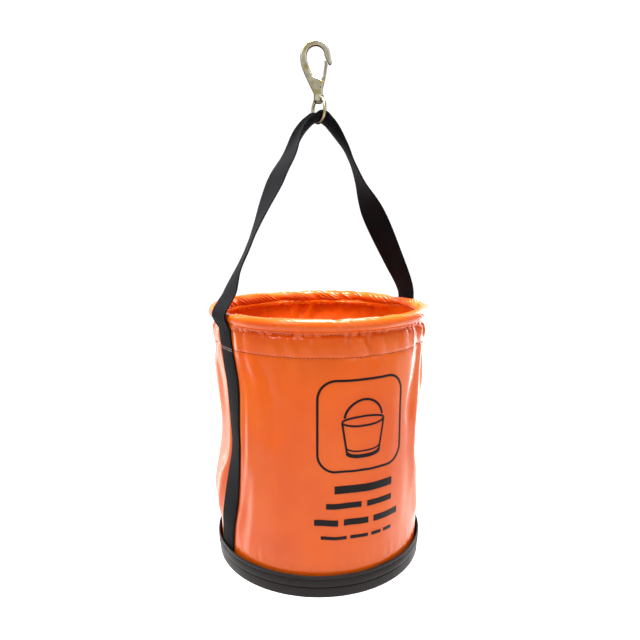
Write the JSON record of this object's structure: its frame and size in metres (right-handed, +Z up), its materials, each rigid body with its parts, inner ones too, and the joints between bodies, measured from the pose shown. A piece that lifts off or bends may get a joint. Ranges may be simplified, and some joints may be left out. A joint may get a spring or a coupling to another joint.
{
  "type": "tool bucket",
  "caption": "Round soft-walled tool bucket with a stiffened rim, moulded bottom pan, webbing handle and swivel snap hook to hang it by.",
  "frame": {"origin": "where the load line meets the inside of the snap hook's bow, which is the point the bucket hangs from", "axes": "+Z up along the swivel's axis; the snap hook lies in the XZ plane with its gate towards +X; the handle's plane is turned 30 degrees about Z from XZ"},
  "size_m": [0.3176, 0.3176, 0.7378],
  "materials": {
    "cast_brass": "nickel-tinted polished casting",
    "hardened_steel": "bright zinc plate",
    "spring_steel": "blued",
    "nylon_webbing": "woven, matt with a soft sheen",
    "bonded_thread_black": "bonded sewing thread",
    "bonded_thread_brown": "bonded sewing thread",
    "coated_vinyl": "semi-gloss, softly creased",
    "hoop_plastic": "extruded",
    "pan_polymer": "moulded, fine matt grain"
  },
  "bodies": {
    "hook": {"snap_hook_body": "cast_brass", "gate_pin": "hardened_steel", "gate_spring": "spring_steel", "swivel_post": "cast_brass"},
    "gate": {"gate": "cast_brass"},
    "eye": {"swivel_eye": "cast_brass"},
    "handle": {"strap_crown": "nylon_webbing", "strap_leg_right": "nylon_webbing", "strap_leg_left": "nylon_webbing"},
    "bucket": {"strap_run_right": "nylon_webbing", "strap_run_left": "nylon_webbing", "strap_thread_right": "bonded_thread_black", "strap_thread_left": "bonded_thread_black", "vinyl_wall": "coated_vinyl", "rim_hoop": "hoop_plastic", "hoop_splice": "hoop_plastic", "bottom_pan": "pan_polymer", "hem_thread_upper": "bonded_thread_brown", "hem_thread_lower": "bonded_thread_brown", "pan_thread_upper": "bonded_thread_black", "pan_thread_lower": "bonded_thread_black"}
  },
  "joints": [
    {"name": "gate_open", "type": "hinge", "parent": "hook", "child": "gate", "pos_m": [0.0024, 0, -0.0524], "axis": [0, -1, 0], "range_deg": [0, 30], "stiffness_Nm_per_rad": 0.05, "springref_deg": -20.05, "deforming": ["gate_spring"]},
    {"name": "hook_swivel", "type": "hinge", "parent": "hook", "child": "eye", "pos_m": [0, 0, -0.066], "axis": [0, 0, 1], "continuous": true},
    {"name": "handle_rock", "type": "hinge", "parent": "eye", "child": "handle", "pos_m": [0, 0, -0.09745], "axis": [-0.5, 0.866, 0], "range_deg": [-60, 60], "deforming": ["strap_crown"]},
    {"name": "bucket_tip", "type": "hinge", "parent": "handle", "child": "bucket", "pos_m": [0, 0, -0.35645], "axis": [0.866, 0.5, 0], "range_deg": [-45, 45]}
  ]
}
